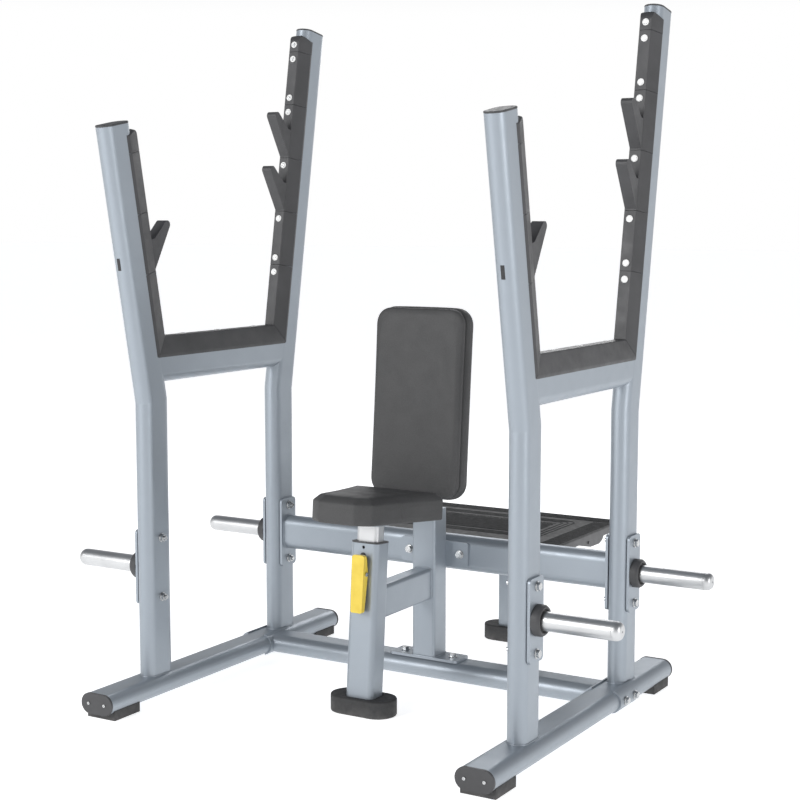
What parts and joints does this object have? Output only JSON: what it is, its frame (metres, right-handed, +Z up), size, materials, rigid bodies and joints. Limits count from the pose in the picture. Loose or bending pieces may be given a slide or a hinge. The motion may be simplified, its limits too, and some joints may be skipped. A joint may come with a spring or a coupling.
{
  "type": "seated press bench with bar rack",
  "caption": "Four-upright bar rack with angled liners and hooks, a fixed back pad, a seat that slides up its post, plate-storage horns and a rear spotter platform.",
  "frame": {"origin": "on the floor below the centre of the whole footprint", "axes": "+X to the right as the lifter sits, +Y to the rear, +Z up"},
  "size_m": [1.742, 1.4384, 2.0037],
  "materials": {
    "frame_paint": "satin metallic silver-grey powder coat",
    "liner_plastic": "fine-grained moulded polymer",
    "foot_rubber": "matt moulded rubber",
    "horn_chrome": "bright chrome",
    "zinc_steel": "bright zinc plate",
    "washer_plastic": "white moulded ring",
    "upholstery": "grained vinyl",
    "pad_board": "plywood with a black finish",
    "tread_rubber": "matt rubber tread with raised lines",
    "tray_paint": "satin dark-grey powder coat",
    "lever_paint": "satin yellow powder coat",
    "bracket_paint": "satin black powder coat"
  },
  "bodies": {
    "frame": {"left_rail": "frame_paint", "right_rail": "frame_paint", "rail_end_caps": "liner_plastic", "rail_cap_screws": "zinc_steel", "rail_feet": "foot_rubber", "left_front_upright": "frame_paint", "left_rear_upright": "frame_paint", "right_front_upright": "frame_paint", "right_rear_upright": "frame_paint", "upright_caps": "liner_plastic", "upright_slot_plugs": "foot_rubber", "left_cross_tube": "frame_paint", "right_cross_tube": "frame_paint", "left_rear_liner": "liner_plastic", "left_rear_hooks": "liner_plastic", "left_front_liner": "liner_plastic", "left_front_hook": "liner_plastic", "left_cross_liner": "liner_plastic", "right_rear_liner": "liner_plastic", "right_rear_hooks": "liner_plastic", "right_front_liner": "liner_plastic", "right_front_hook": "liner_plastic", "right_cross_liner": "liner_plastic", "liner_screws": "zinc_steel", "liner_washers": "washer_plastic", "floor_beam": "frame_paint", "rail_saddles": "frame_paint", "frame_bolts": "zinc_steel", "upper_beam": "frame_paint", "horn_plates": "frame_paint", "horn_bolts": "zinc_steel", "horn_nuts": "zinc_steel", "left_front_horn": "horn_chrome", "left_rear_horn": "horn_chrome", "right_front_horn": "horn_chrome", "right_rear_horn": "horn_chrome", "horn_collars": "liner_plastic", "horn_end_caps": "horn_chrome", "centre_column": "frame_paint", "link_tube": "frame_paint", "back_pad": "upholstery", "back_pad_board": "pad_board", "back_pad_brackets": "frame_paint", "back_pad_screws": "zinc_steel", "post_sleeve": "frame_paint", "post_bush": "liner_plastic", "post_foot": "foot_rubber", "lever_bracket": "bracket_paint", "platform_mat": "tread_rubber", "platform_tray": "tray_paint", "platform_frame": "frame_paint", "platform_foot": "foot_rubber", "lever_pin": "zinc_steel", "lever_spring": "zinc_steel"},
    "seat": {"seat_post": "horn_chrome", "seat_plate": "frame_paint", "seat_pad": "upholstery", "seat_screws": "zinc_steel"},
    "release_lever": {"lever": "lever_paint"},
    "lock": {"lock_pin": "zinc_steel"}
  },
  "joints": [
    {"name": "seat_height", "type": "slide", "parent": "frame", "child": "seat", "axis": [0, 0.0785, 0.9969], "range_m": [0, 0.16]},
    {"name": "lever_pull", "type": "hinge", "parent": "frame", "child": "release_lever", "pos_m": [0, -0.28331, 0.4046], "axis": [-1, 0, 0], "range_deg": [0, 12], "stiffness_Nm_per_rad": 1.2, "springref_deg": -5.73},
    {"name": "lock_slide", "type": "slide", "parent": "frame", "child": "lock", "axis": [0, -0.9969, 0.0785], "range_m": [0, 0.007]}
  ],
  "couplings": [
    {"joint": "lock_slide", "follows": "lever_pull", "m_per_rad": 0.0334}
  ]
}
